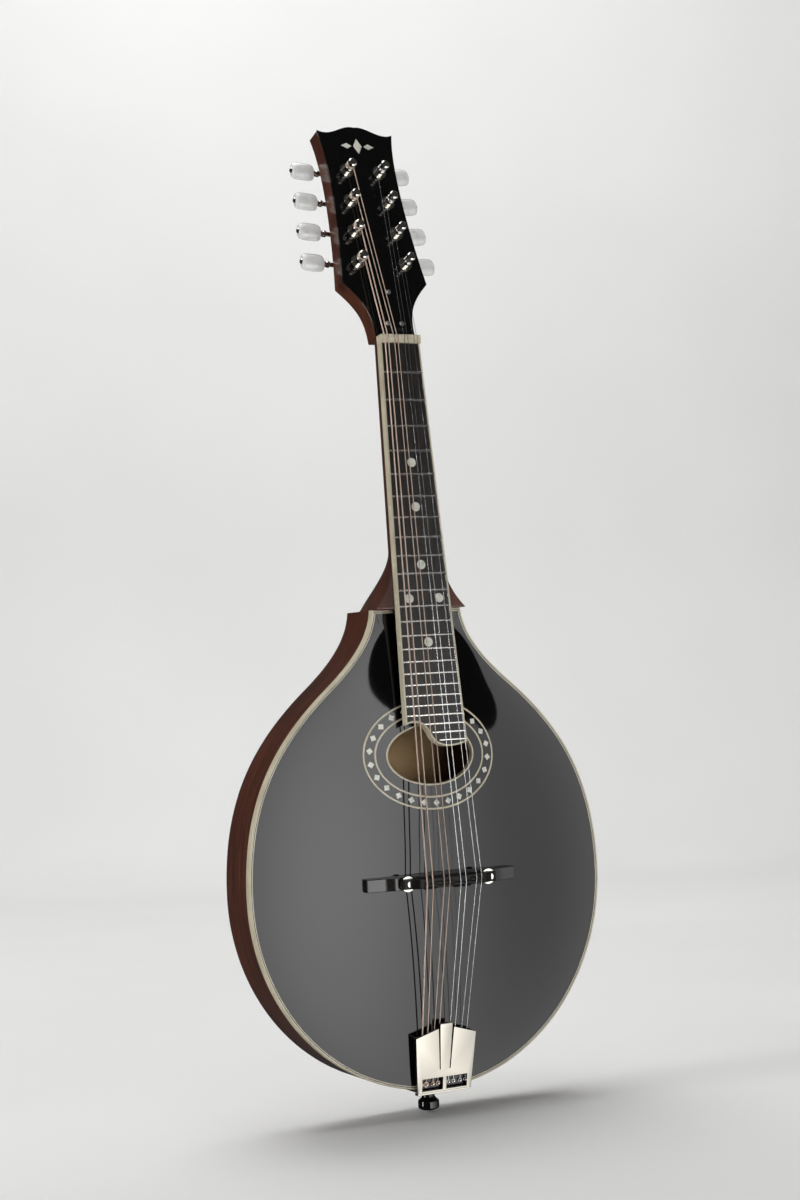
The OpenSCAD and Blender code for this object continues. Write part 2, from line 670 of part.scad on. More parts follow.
module string_post(k) {
    s = [for (t = strings) if (t[4] == k) t][0];
    gear_y = worm_y + 1.5;
    gear_r = gear_pitch_r + 0.22;
    root_r = gear_pitch_r - 0.75;
    step = 360 / gear_teeth;
    color("#c4c6c8") on_tuner(k) {
        facing_player() difference() {
            rotate_extrude() polygon([
                [0, post_top], [2.3, post_top], [post_r, post_top - 0.7], [post_r, 10.2], [2.5, 9.6], [2.5, 6],
                [post_r, 5.4], [post_r, -head_thick - 2.6], [0, -head_thick - 2.6]
            ]);
            translate([0, 0, 7.8]) rotate([0, 90, 0]) cylinder(h = 10, r = 0.7, center = true);
        }
        // worm wheel with its retaining screw
        translate([0, gear_y, 0]) facing_player() linear_extrude(3) polygon([
            for (i = [0 : gear_teeth - 1], c = [[-0.27, root_r], [-0.14, gear_r], [0.14, gear_r], [0.27, root_r]])
                [c[1] * sin((i + c[0]) * step), c[1] * cos((i + c[0]) * step)]
        ]);
        translate([0, gear_y + 0.02, 0]) rotate([-90, 0, 0]) difference() {
            cylinder(h = 1.3, r = 2.5);
            translate([-3, -0.35, 0.7]) cube([6, 0.7, 1]);
        }
    }
    // turns of string on the post
    color(s[3] > 0.3 ? "#b8763e" : "#cfd2d4") on_tuner(k) for (i = [0 : windings - 1])
        translate([0, -6.2 - s[3] - i * 2.04 * s[3], 0]) facing_player()
            rotate_extrude() translate([2.53 + s[3], 0]) circle(r = s[3], $fn = 16);
}
shaft_r = 1.5;
knob_at = -16.8;
knob_length = 15.5;
module worm_shaft(k) {
    thread_turns = 3;
    thread_steps = 14;
    core = 1.62;
    color("#c4c6c8") on_tuner(k) translate([0, worm_y, worm_rise]) {
        rotate([0, -90, 0]) rotate_extrude() polygon([
            [0, -7.2], [shaft_r, -7.2], [shaft_r, -5], [core, -5], [core, 5], [shaft_r, 5], [shaft_r, 12.2],
            [2.3, 12.6], [2.3, 14.2], [1.9, 15], [1.9, 16.7], [1.2, 16.7], [1.2, 32.5], [1.9, 32.5], [1.4, 33.3],
            [0, 33.4]
        ]);
        // worm thread, in mesh with the wheel's teeth
        loft([for (i = [-thread_turns * thread_steps / 2 : thread_turns * thread_steps / 2])
            let (a = 360 * i / thread_steps, x = worm_pitch * (i / thread_steps + 0.5))
            [for (c = [[core + 0.02, -0.36], [2.42, -0.17], [2.42, 0.17], [core + 0.02, 0.36]])
                [x + c[1], c[0] * sin(a), c[0] * -cos(a)]]]);
    }
}
module tuner_knob(k) {
    rings = 12;
    facets = 20;
    // barrel-shaped button: full along its middle, drawn in at both ends
    function girth(t) = 0.66 + 0.34 * sqrt(1 - pow(2 * t - 1, 4));
    color("#ece9e2") on_tuner(k) translate([0, worm_y, worm_rise]) difference() {
        loft([for (i = [0 : rings]) let (t = i / rings, g = girth(t))
            [for (j = [0 : facets - 1]) let (a = 360 * j / facets)
                [knob_at - knob_length * t, 4 * g * sin(a), 6.3 * g * cos(a)]]]);
        translate([knob_at + 1, 0, 0]) rotate([0, -90, 0]) cylinder(h = knob_length + 3, r = 1.25);
    }
}

// ---- Strings and bridge ----
module string_run(s) {
    r = s[3];
    tube([at_post(s), at_nut(s), at_saddle(s), at_lip(s), at_hook(s)], r);
    on_tail() translate([s[2], tail_gap + r, hook_z]) facing_player()
        rotate_extrude() translate([hook_r + r + 0.1, 0]) circle(r = r, $fn = 16);
}
module wound_strings() { color("#b8763e") for (s = strings) if (s[3] > 0.3) string_run(s); }
module plain_strings() { color("#cfd2d4") for (s = strings) if (s[3] < 0.3) string_run(s); }
module bridge_base() {
    reach = foot_length / 2;
    steps = 18;
    low = [for (i = [0 : steps]) let (x = reach * (2 * i / steps - 1)) [x, top_height([x, -bridge_at]) + 0.15]];
    end_top = low[0].y + 6.4;
    color("#15110f") on_body() difference() {
        profile_bar(concat(low, [
            [reach, end_top], [44, end_top + 1.6], [37, foot_top - 0.6], [33.5, foot_top],
            [-33.5, foot_top], [-37, foot_top - 0.6], [-44, end_top + 1.6], [-reach, end_top]
        ]), bridge_at - foot_width / 2, bridge_at + foot_width / 2);
        for (x = [-1, 1]) translate([x * stud_spacing / 2, -foot_top + 5.5, -bridge_at])
            facing_player() cylinder(h = 8, r = stud_r + 0.02);
    }
}
module bridge_studs() {
    color("#c4c6c8") on_body() for (x = [-1, 1]) translate([x * stud_spacing / 2, -foot_top + 5.4, -bridge_at])
        facing_player() cylinder(h = 12.8, r = stud_r);
}
module thumbwheel(x) {
    knurls = 30;
    color("#d8dadb") on_body() translate([x, -wheel_floor, -bridge_at]) facing_player() difference() {
        linear_extrude(wheel_thick) polygon([for (i = [0 : 2 * knurls - 1])
            (i % 2 == 0 ? wheel_r : wheel_r - 0.25) * [sin(180 * i / knurls), cos(180 * i / knurls)]]);
        translate([0, 0, -1]) cylinder(h = wheel_thick + 2, r = stud_r + 0.05);
    }
}
module bass_thumbwheel() { thumbwheel(-stud_spacing / 2); }
module treble_thumbwheel() { thumbwheel(stud_spacing / 2); }
module saddle() {
    lift = 0.3;
    half = concat(
        [
            [saddle_half - 0.8, saddle_floor], [saddle_half, saddle_floor + 1],
            [saddle_half - 0.6, saddle_floor + 2.6]
        ],
        bez_points([[31, 28.4], [26, 28.8], [26.5, string_height(24) + 0.2], [21.8, string_height(22) + 0.3]], 8),
        [for (x = [21.8 : -3.1 : 0.5]) [x, string_height(x) + 0.5]], [[0, string_height(0) + 0.5]]
    );
    under = [[-23, saddle_floor], [-19, saddle_floor + 2.2], [19, saddle_floor + 2.2], [23, saddle_floor]];
    color("#15110f") difference() {
        on_body() profile_bar(concat(half, mirrored(half), under),
            bridge_at - saddle_width / 2, bridge_at + saddle_width / 2);
        on_body() for (x = [-1, 1]) translate([x * stud_spacing / 2, -saddle_floor + 1, -bridge_at])
            facing_player() cylinder(h = 12, r = stud_r + 0.05);
        for (s = strings, end = [at_nut(s), at_lip(s)]) channel(at_saddle(s), end, s[3] + lift, s[3] + lift);
    }
}

// ---- Tail end ----
module tailpiece() {
    wall = 1.5;
    inner = inset(reversed([[-19.6, 0], [19.6, 0], [22, 37.5], [-22, 37.5]]), wall);
    screw_spots = [[-9, 10], [9, 10], [0, 32]];
    color("#cdc9bd") {
        on_tail() {
            difference() {
                slab(tail_outline, 0, tail_sheet);
                for (x = [-16.4, 1.3]) translate([x, -1, 1.4]) cube([15.1, tail_sheet + 2, 8.2]);
            }
            // floor under the hooks, and the hooks
            translate([-18.2, tail_sheet + 1.2, 0.4]) cube([36.4, 0.45, 9.5]);
            for (s = strings)
                translate([s[2], tail_sheet + 1.4, hook_z]) facing_player() cylinder(h = 2.8, r = hook_r);
        }
        // side walls reach down to the top
        intersection() {
            on_tail() difference() {
                slab([[-19.6, 0], [19.6, 0], [22, 37.5], [-22, 37.5]], tail_sheet - 0.5, 14);
                translate([0, 1, 0]) slab([for (q = inner) [q.x, q.y > 20 ? 60 : -5]], -2, 16);
            }
            on_body() translate([-40, 0, 0]) rotate([90, 0, 90]) linear_extrude(80)
                polygon(concat([[-30, -tail_end], [-30, -270]],
                    [for (s = [270 : 4 : 310]) [-top_height([20, -s]) - 0.4, -s]], [[-0.4, -tail_end]]));
        }
        // tongue down the tail, under the end button
        on_body() difference() {
            union() {
                translate([-15, -tail_foot + 0.4, -body_length - 2.1]) cube([30, 36, 1.5]);
                translate([-19.5, -tail_foot + 0.1, -body_length - 2.1]) cube([39, tail_foot + 4, 1.5]);
            }
            translate([0, button_y, -body_length - 4]) cylinder(h = 5, r = 3.3);
            for (p = screw_spots) translate([p.x, p.y, -body_length - 4]) cylinder(h = 5, r = 1.5);
        }
    }
}
module tailpiece_screws() {
    color("#c4c6c8") on_body() for (p = [[-9, 10], [9, 10], [0, 32]])
        translate([p.x, p.y, -body_length - 2.55]) rotate([180, 0, 0]) screw(14, 1.3, 2.6);
}
module end_button() {
    color("#101010") on_body() translate([0, button_y, -body_length - 2.15]) rotate([180, 0, 0]) rotate_extrude()
        polygon(concat(
            [[0, -16], [3, -16], [3, 0], [6.5, 0], [6.5, 1.2], [4.4, 2.6], [4.2, 6], [6.4, 8], [7, 8.6], [7, 12.6]],
            [for (i = [1 : 6]) [7 * cos(15 * i), 12.6 + 2.4 * sin(15 * i)]]
        ));
}

soundboard();
back_plate();
bass_side();
treble_side();
linings();
head_block();
tail_block();
transverse_brace();
top_binding();
rosette_rings();
rosette_diamonds();
label();
neck();
headstock_overlay();
heel_cap();
truss_rod();
truss_rod_cover();
fingerboard();
fingerboard_binding();
frets();
pearl_inlays();
nut();
bass_tuner_plate();
treble_tuner_plate();
tuner_bushings();
small_screws();
wound_strings();
plain_strings();
bridge_base();
bridge_studs();
saddle();
bass_thumbwheel();
treble_thumbwheel();
tailpiece();
tailpiece_screws();
end_button();
for (k = [1 : 8]) {
    tuner_knob(k);
    worm_shaft(k);
    string_post(k);
}
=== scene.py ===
import math
import bpy
import bmesh
from mathutils import Matrix, Vector


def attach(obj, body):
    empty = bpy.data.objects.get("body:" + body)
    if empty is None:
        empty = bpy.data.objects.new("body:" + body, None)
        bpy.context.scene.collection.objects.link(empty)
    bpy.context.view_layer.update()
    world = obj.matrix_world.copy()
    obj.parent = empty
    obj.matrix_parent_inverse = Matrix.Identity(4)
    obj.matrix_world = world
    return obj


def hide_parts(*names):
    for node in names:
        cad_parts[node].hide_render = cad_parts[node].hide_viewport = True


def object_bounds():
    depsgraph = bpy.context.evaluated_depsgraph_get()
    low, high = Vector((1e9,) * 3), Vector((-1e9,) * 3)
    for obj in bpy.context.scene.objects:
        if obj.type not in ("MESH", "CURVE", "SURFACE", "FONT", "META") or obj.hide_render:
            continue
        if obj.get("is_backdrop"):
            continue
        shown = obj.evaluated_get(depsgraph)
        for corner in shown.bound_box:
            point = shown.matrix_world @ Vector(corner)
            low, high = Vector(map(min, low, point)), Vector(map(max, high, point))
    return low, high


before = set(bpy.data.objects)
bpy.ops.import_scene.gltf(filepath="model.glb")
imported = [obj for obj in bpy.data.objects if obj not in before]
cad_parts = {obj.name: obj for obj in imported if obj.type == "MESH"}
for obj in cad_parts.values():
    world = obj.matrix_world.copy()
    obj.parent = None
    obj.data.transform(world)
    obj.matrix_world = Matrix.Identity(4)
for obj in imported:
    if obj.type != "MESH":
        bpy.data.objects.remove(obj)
cad_low, cad_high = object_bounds()
scene = bpy.context.scene
MM = 0.001
PI = math.pi


# ---- Frames and points of the CAD model, in millimetres ----
SCALE = 352.4
TILT, HEAD_ANGLE, LEAN = 5.24, 12.2, 4.37
FRET_Y, FRET_RISE = -10, 13.3
RIM_Y = FRET_Y - SCALE / 2 * math.sin(math.radians(TILT)) + FRET_RISE * math.cos(math.radians(TILT))
EDGE_Z = -SCALE / 2 * math.cos(math.radians(TILT)) - FRET_RISE * math.sin(math.radians(TILT))
BRIDGE_AT = (SCALE + 2.5) * math.cos(math.radians(TILT)) + EDGE_Z
RIM, BACK_EDGE, SIDE, BIND_H = 40, 3, 2.3, 5.4
BODY_LENGTH = 314
SHOULDER_HALF, BOUT, BOUT_AT = 32.5, 128.4, 179.5
TOP_ARCH, BACK_ARCH = 15, 13
NUT_T = 5.5
HEAD_T = 14
POST_X, FIRST_POST, POST_PITCH = 21.9, 54.8, 23.5
WORM_Y, WORM_RISE = 18.2, 6.8
TAIL_SLOPE, TAIL_FOOT, TAIL_GAP = 10.2, 3.9, 2.12
BUTTON_Y = 20


def add(a, b):
    return [p + q for p, q in zip(a, b)]


def turn_x(v, deg):
    a = math.radians(deg)
    return [v[0], v[1] * math.cos(a) - v[2] * math.sin(a), v[1] * math.sin(a) + v[2] * math.cos(a)]


def turn_y(v, deg):
    a = math.radians(deg)
    return [v[0] * math.cos(a) + v[2] * math.sin(a), v[1], v[2] * math.cos(a) - v[0] * math.sin(a)]


def from_body(v):
    return add(v, [0, RIM_Y, EDGE_Z])


def from_neck(v):
    return add(turn_x(v, -TILT), [0, FRET_Y, 0])


def from_head(v):
    return from_neck(add(turn_x(v, -HEAD_ANGLE), [0, 6.2, 6]))


def from_tuner(k, v):
    q = turn_y(add(v, [0, 0, FIRST_POST + POST_PITCH * ((k - 1) % 4)]), LEAN)
    x = q[0] - POST_X
    return from_head([x if k <= 4 else -x, q[1], q[2]])


def from_tail(v):
    return from_body(add(turn_x(v, TAIL_SLOPE), [0, -TAIL_FOOT, -BODY_LENGTH - 1]))


# ---- Outlines and the arch ----
def bez(p, t):
    s = 1 - t
    return [s ** 3 * a + 3 * s * s * t * b + 3 * s * t * t * c + t ** 3 * d for a, b, c, d in zip(*p)]


def bez_points(p, n):
    return [bez(p, i / n) for i in range(n)]


half_outline = (
    bez_points([[SHOULDER_HALF, 0], [34, 17], [46.2, 32.5], [66.3, 49.5]], 40)
    + bez_points([[66.3, 49.5], [104, 81.5], [BOUT, 116.6], [BOUT, BOUT_AT]], 50)
    + [[BOUT * math.cos(PI / 2 * i / 60), BOUT_AT + (BODY_LENGTH - BOUT_AT) * math.sin(PI / 2 * i / 60)]
       for i in range(61)]
)
# open outline from the treble shoulder round the tail to the bass shoulder, as [x, z] below the shoulder edge
OUTLINE = [[x, -s] for x, s in half_outline] + [[-x, -s] for x, s in half_outline[-2::-1]]
SHOULDER = [[SHOULDER_HALF * (i / 8 - 1), 0] for i in range(1, 16)]
CLOSED = OUTLINE + SHOULDER


def inset(points, d):
    out = []
    n = len(points)
    for i in range(n):
        p, q, r = points[i - 1], points[i], points[(i + 1) % n]
        a = Vector((q[0] - p[0], q[1] - p[1])).normalized()
        b = Vector((r[0] - q[0], r[1] - q[1])).normalized()
        m = (a + b).normalized()
        reach = d / max(0.5, math.sqrt((1 + a.dot(b)) / 2))
        out.append([q[0] + reach * m.y, q[1] - reach * m.x])
    return out


PLATE = inset(CLOSED, SIDE)
CENTRE = (0, -165)
HOLE = (0, -95.6)
HOLE_HALF = (31, 19.1)


def bearing(x, z):
    return math.degrees(math.atan2(x, -z))


rim_table = sorted((bearing(q[0], q[1] - CENTRE[1]), math.hypot(q[0], q[1] - CENTRE[1])) for q in PLATE)
first, last = rim_table[0], rim_table[-1]
rim_table = [(last[0] - 360, last[1])] + rim_table + [(first[0] + 360, first[1])]


def raw_reach(b):
    b = (b + 180) % 360 - 180
    for (b0, r0), (b1, r1) in zip(rim_table, rim_table[1:]):
        if b0 <= b <= b1:
            return r0 + (r1 - r0) * (b - b0) / max(1e-9, b1 - b0)
    return rim_table[0][1]


raw = [raw_reach(b) for b in range(-180, 180)]
SPREAD = 14
weights = [(d, 1 - abs(d) / SPREAD) for d in range(-SPREAD + 2, SPREAD - 1, 2)]
total = sum(w for d, w in weights)
soft = [sum(w * raw[(i + d) % 360] for d, w in weights) / total for i in range(360)]


def reach(b):
    b = (b + 180) % 360
    i = int(b)
    return soft[i % 360] + (soft[(i + 1) % 360] - soft[i % 360]) * (b - i)


def share(x, z):
    x, z = x - CENTRE[0], z - CENTRE[1]
    r = math.hypot(x, z)
    return min(1, r / reach(bearing(x, z))) if r > 0.01 else 0


def dome(x, z, power):
    return (1 - share(x, z) ** 2) ** power


def across(x, z):
    r = math.hypot(x, z - CENTRE[1])
    return (x / r) ** 2 if r > 0.01 else 0


def top_height(x, z):
    return TOP_ARCH * dome(x, z, 1.35 + 0.85 * across(x, z))


def back_height(x, z):
    return BACK_ARCH * dome(x, z, 1.2 + 0.6 * across(x, z))


def top_point(x, z, lift):
    return from_body([x, -top_height(x, z) - lift, z])


def back_point(x, z, lift):
    return from_body([x, RIM + back_height(x, z) - BACK_EDGE - 1.2 * dome(x, z, 1) - lift, z])


def string_height(x):
    return 33.2 + 1.1 * (1 - (x / 20) ** 2)


# ---- Materials ----
def material(name, color, rough=0.4, metal=0.0, coat=0.0, coat_rough=0.03, ior=1.5, spec=0.5):
    m = bpy.data.materials.new(name)
    m.use_nodes = True
    tree = m.node_tree
    b = tree.nodes["Principled BSDF"]
    b.inputs["Base Color"].default_value = (*color, 1)
    b.inputs["Roughness"].default_value = rough
    b.inputs["Metallic"].default_value = metal
    b.inputs["Coat Weight"].default_value = coat
    b.inputs["Coat Roughness"].default_value = coat_rough
    b.inputs["IOR"].default_value = ior
    b.inputs["Specular IOR Level"].default_value = spec
    m.diffuse_color = (*color, 1)
    return m


def noise(m, scale, detail=4, stretch=(1, 1, 1), coords="Object", rough=0.5):
    tree = m.node_tree
    tc = tree.nodes.new("ShaderNodeTexCoord")
    mp = tree.nodes.new("ShaderNodeMapping")
    mp.inputs["Scale"].default_value = stretch
    nt = tree.nodes.new("ShaderNodeTexNoise")
    nt.inputs["Scale"].default_value = scale
    nt.inputs["Detail"].default_value = detail
    nt.inputs["Roughness"].default_value = rough
    tree.links.new(tc.outputs[coords], mp.inputs["Vector"])
    tree.links.new(mp.outputs["Vector"], nt.inputs["Vector"])
    return nt.outputs["Fac"]


def tint(m, fac, stops):
    tree = m.node_tree
    ramp = tree.nodes.new("ShaderNodeValToRGB")
    ramp.color_ramp.elements[0].position = stops[0][0]
    ramp.color_ramp.elements[0].color = (*stops[0][1], 1)
    ramp.color_ramp.elements[1].position = stops[-1][0]
    ramp.color_ramp.elements[1].color = (*stops[-1][1], 1)
    for pos, col in stops[1:-1]:
        ramp.color_ramp.elements.new(pos).color = (*col, 1)
    tree.links.new(fac, ramp.inputs["Fac"])
    tree.links.new(ramp.outputs["Color"], tree.nodes["Principled BSDF"].inputs["Base Color"])


def spread_rough(m, fac, low, high):
    tree = m.node_tree
    r = tree.nodes.new("ShaderNodeMapRange")
    r.inputs["To Min"].default_value = low
    r.inputs["To Max"].default_value = high
    tree.links.new(fac, r.inputs["Value"])
    tree.links.new(r.outputs["Result"], tree.nodes["Principled BSDF"].inputs["Roughness"])


def bump(m, fac, strength, distance=0.0002):
    tree = m.node_tree
    b = tree.nodes.new("ShaderNodeBump")
    b.inputs["Strength"].default_value = strength
    b.inputs["Distance"].default_value = distance
    tree.links.new(fac, b.inputs["Height"])
    tree.links.new(b.outputs["Normal"], tree.nodes["Principled BSDF"].inputs["Normal"])


lacquer = material("black_lacquer", (0.0022, 0.0022, 0.0025), rough=0.05, ior=1.5)
spread_rough(lacquer, noise(lacquer, 9, 3), 0.015, 0.05)

veneer = material("black_veneer", (0.0035, 0.0034, 0.0034), rough=0.08)
spread_rough(veneer, noise(veneer, 40, 4), 0.05, 0.12)


def mahogany(name, coords, stretch, pores):
    m = material(name, (0.10, 0.026, 0.010), rough=0.3, coat=0.9, coat_rough=0.06)
    broad = noise(m, 9, 5, stretch, coords, 0.6)
    tint(m, broad, [
        (0.30, (0.030, 0.0075, 0.0035)), (0.48, (0.070, 0.018, 0.0075)), (0.72, (0.135, 0.038, 0.015))])
    bump(m, noise(m, 60, 4, pores, coords, 0.6), 0.12, 0.0001)
    return m


mahogany_z = mahogany("mahogany_neck", "Object", (9, 9, 0.7), (9, 9, 0.5))
mahogany_back = mahogany("mahogany_back", "Object", (7, 1, 0.5), (12, 1, 0.4))
mahogany_rim = mahogany("mahogany_rim", "UV", (0.6, 12, 1), (0.5, 16, 1))

bare = material("bare_spruce", (0.50, 0.33, 0.17), rough=0.7)
tint(bare, noise(bare, 30, 4, (8, 8, 0.6)), [(0.3, (0.33, 0.20, 0.095)), (0.7, (0.56, 0.38, 0.20))])
bare_inside = material("bare_mahogany_inside", (0.40, 0.22, 0.11), rough=0.65)
tint(bare_inside, noise(bare_inside, 26, 4, (8, 1, 0.5)), [
    (0.3, (0.26, 0.13, 0.055)), (0.7, (0.46, 0.27, 0.13))])

ivory = material("ivory_binding", (0.62, 0.56, 0.41), rough=0.28, coat=0.4, coat_rough=0.08)
tint(ivory, noise(ivory, 70, 3), [(0.3, (0.52, 0.465, 0.33)), (0.7, (0.66, 0.60, 0.45))])

pearl = material("mother_of_pearl", (0.74, 0.74, 0.66), rough=0.16, coat=0.3)
tint(pearl, noise(pearl, 260, 4), [
    (0.32, (0.50, 0.55, 0.50)), (0.5, (0.76, 0.75, 0.66)), (0.68, (0.86, 0.82, 0.74))])
spread_rough(pearl, noise(pearl, 300, 2), 0.1, 0.3)

paper = material("label_paper", (0.60, 0.47, 0.27), rough=0.85)
tint(paper, noise(paper, 45, 5), [(0.3, (0.50, 0.32, 0.15)), (0.7, (0.64, 0.44, 0.23))])

ebony = material("ebony", (0.012, 0.010, 0.009), rough=0.34)
tint(ebony, noise(ebony, 50, 5, (12, 12, 0.6)), [
    (0.35, (0.006, 0.005, 0.0045)), (0.75, (0.030, 0.023, 0.019))])
bump(ebony, noise(ebony, 120, 3, (12, 12, 0.7)), 0.18, 0.0001)
ebony_polished = material("ebony_polished", (0.010, 0.009, 0.008), rough=0.2, coat=0.3, coat_rough=0.15)
tint(ebony_polished, noise(ebony_polished, 60, 5, (1, 12, 12)), [
    (0.35, (0.005, 0.0045, 0.004)), (0.75, (0.020, 0.016, 0.013))])

ebony_dull = material("ebony_dull", (0.006, 0.005, 0.005), rough=0.42, spec=0.2)
tint(ebony_dull, noise(ebony_dull, 60, 5, (1, 12, 12)), [
    (0.35, (0.004, 0.0035, 0.003)), (0.75, (0.010, 0.008, 0.007))])

bone = material("bone", (0.66, 0.60, 0.45), rough=0.33)
tint(bone, noise(bone, 160, 4, (1, 1, 3)), [(0.35, (0.56, 0.50, 0.36)), (0.7, (0.70, 0.64, 0.49))])

nickel = material("nickel", (0.72, 0.69, 0.63), rough=0.16, metal=1)
spread_rough(nickel, noise(nickel, 220, 3), 0.1, 0.22)
cast_nickel = material("tailpiece_nickel", (0.40, 0.38, 0.33), rough=0.2, metal=1)
spread_rough(cast_nickel, noise(cast_nickel, 40, 4), 0.16, 0.26)
bump(cast_nickel, noise(cast_nickel, 60, 3), 0.05, 0.0002)
fret_metal = material("fret_wire", (0.84, 0.83, 0.79), rough=0.18, metal=1)
spread_rough(fret_metal, noise(fret_metal, 400, 2), 0.14, 0.28)
steel = material("screw_steel", (0.55, 0.55, 0.55), rough=0.3, metal=1)
spread_rough(steel, noise(steel, 300, 2), 0.25, 0.4)

pearloid = material("pearloid", (0.78, 0.78, 0.76), rough=0.22, coat=0.5, coat_rough=0.06)
tint(pearloid, noise(pearloid, 190, 4, (1, 1, 1), rough=0.7), [
    (0.3, (0.74, 0.75, 0.75)), (0.52, (0.88, 0.88, 0.86)), (0.7, (0.94, 0.93, 0.91))])


def wire(name, color, rough, period, depth):
    m = material(name, color, rough=rough, metal=1)
    tree = m.node_tree
    tc = tree.nodes.new("ShaderNodeTexCoord")
    wave = tree.nodes.new("ShaderNodeTexWave")
    wave.wave_type = "BANDS"
    wave.bands_direction = "Z"
    wave.inputs["Scale"].default_value = 0.314 / period
    tree.links.new(tc.outputs["Object"], wave.inputs["Vector"])
    bump(m, wave.outputs["Fac"], depth, 0.0001)
    spread_rough(m, noise(m, 500, 2), rough * 0.8, rough * 1.3)
    return m


bronze = wire("bronze_winding", (0.80, 0.62, 0.52), 0.3, 0.00025, 0.5)
plain = wire("plain_steel", (0.80, 0.80, 0.80), 0.22, 0.002, 0.02)


# ---- Mesh helpers ----
def finish_piece(ob, mat, body, replaces, sharp=35):
    scene.collection.objects.link(ob)
    mesh = ob.data
    if not mesh.materials:
        mesh.materials.append(mat)
    for p in mesh.polygons:
        p.use_smooth = True
    mesh.set_sharp_from_angle(angle=math.radians(sharp))
    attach(ob, body)
    if replaces:
        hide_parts(*replaces)
    return ob


def piece(name, verts, faces, mat, slot, body="root", replaces=(), sharp=35, bevel=0):
    mesh = bpy.data.meshes.new(name)
    mesh.from_pydata([[c * MM for c in v] for v in verts], [], faces)
    bm = bmesh.new()
    bm.from_mesh(mesh)
    bmesh.ops.remove_doubles(bm, verts=bm.verts, dist=1e-6)
    bmesh.ops.recalc_face_normals(bm, faces=bm.faces)
    bm.to_mesh(mesh)
    bm.free()
    ob = bpy.data.objects.new(name, mesh)
    finish_piece(ob, mat, body, replaces, sharp)
    if bevel:
        mod = ob.modifiers.new("edge", "BEVEL")
        mod.width = bevel * MM
        mod.segments = 2
        mod.limit_method = "ANGLE"
        mod.angle_limit = math.radians(sharp)
        mod.harden_normals = True
    return ob


def ring_faces(rows, cols, close_rows=False, close_cols=True, caps=False):
    out = []
    for r in range(rows if close_rows else rows - 1):
        for c in range(cols if close_cols else cols - 1):
            d = (c + 1) % cols
            s = (r + 1) % rows
            out.append((r * cols + c, r * cols + d, s * cols + d, s * cols + c))
    if caps:
        out.append(tuple(range(cols)))
        out.append(tuple((rows - 1) * cols + c for c in range(cols)))
    return out


def loft(name, rings, mat, slot, looped=False, caps=True, **more):
    verts = [v for r in rings for v in r]
    faces = ring_faces(len(rings), len(rings[0]), looped, True, caps and not looped)
    return piece(name, verts, faces, mat, slot, **more)


def prism(name, outline, y0, y1, place, mat, slot, **more):
    # an [x, z] outline between two depths of a frame
    return loft(name, [[place([x, y, z]) for x, z in outline] for y in (y0, y1)], mat, slot, **more)


def tube_rings(points, r, sides=12):
    rings = []
    for i, p in enumerate(points):
        t = (Vector(points[min(len(points) - 1, i + 1)]) - Vector(points[max(0, i - 1)])).normalized()
        a = t.cross(Vector((1, 0, 0))).normalized()
        if a.length < 0.1:
            a = t.cross(Vector((0, 1, 0))).normalized()
        b = t.cross(a)
        turns = [2 * PI * j / sides for j in range(sides)]
        rings.append([list(Vector(p) + r * (math.cos(w) * a + math.sin(w) * b)) for w in turns])
    return rings


def joined(name, parts, mat, slot, **more):
    # parts are (verts, faces) lists put in one mesh
    verts, faces = [], []
    for v, f in parts:
        base = len(verts)
        verts += v
        faces += [tuple(i + base for i in g) for g in f]
    return piece(name, verts, faces, mat, slot, **more)


def lofted(rings, looped=False):
    return [v for r in rings for v in r], ring_faces(len(rings), len(rings[0]), looped, True, not looped)


def torus(centre, place, major, minor, steps=28, sides=10):
    # a ring square to the frame's y axis
    rings = []
    for i in range(steps):
        a = 2 * PI * i / steps
        ring = []
        for j in range(sides):
            w = 2 * PI * j / sides
            out = major + minor * math.cos(w)
            ring.append(place(add(centre, [out * math.cos(a), minor * math.sin(w), out * math.sin(a)])))
        rings.append(ring)
    return lofted(rings, True)


def plate_with_holes(name, outlines, thick, bevel, place, mat, replaces=()):
    # a bevelled sheet from filled curves: x, z in the frame, its front face at y = 0
    curve = bpy.data.curves.new(name, "CURVE")
    curve.dimensions = "2D"
    curve.fill_mode = "BOTH"
    curve.extrude = (thick / 2 - bevel) * MM
    curve.bevel_depth = bevel * MM
    curve.bevel_resolution = 2
    curve.offset = -bevel * MM
    for points in outlines:
        s = curve.splines.new("POLY")
        s.points.add(len(points) - 1)
        for p, (x, z) in zip(s.points, points):
            p.co = (x * MM, z * MM, 0, 1)
        s.use_cyclic_u = True
    ob = bpy.data.objects.new(name + "_curve", curve)
    scene.collection.objects.link(ob)
    bpy.context.view_layer.update()
    mesh = bpy.data.meshes.new_from_object(ob.evaluated_get(bpy.context.evaluated_depsgraph_get()))
    bpy.data.objects.remove(ob)
    mesh.name = name
    for v in mesh.vertices:
        x, z, h = (c / MM for c in v.co)
        v.co = Vector(place([x, thick / 2 - h, z])) * MM
    bm = bmesh.new()
    bm.from_mesh(mesh)
    bmesh.ops.remove_doubles(bm, verts=bm.verts, dist=1e-6)
    bmesh.ops.recalc_face_normals(bm, faces=bm.faces)
    bm.to_mesh(mesh)
    bm.free()
    mesh.materials.clear()
    ob = bpy.data.objects.new(name, mesh)
    return finish_piece(ob, mat, "root", replaces, 30)


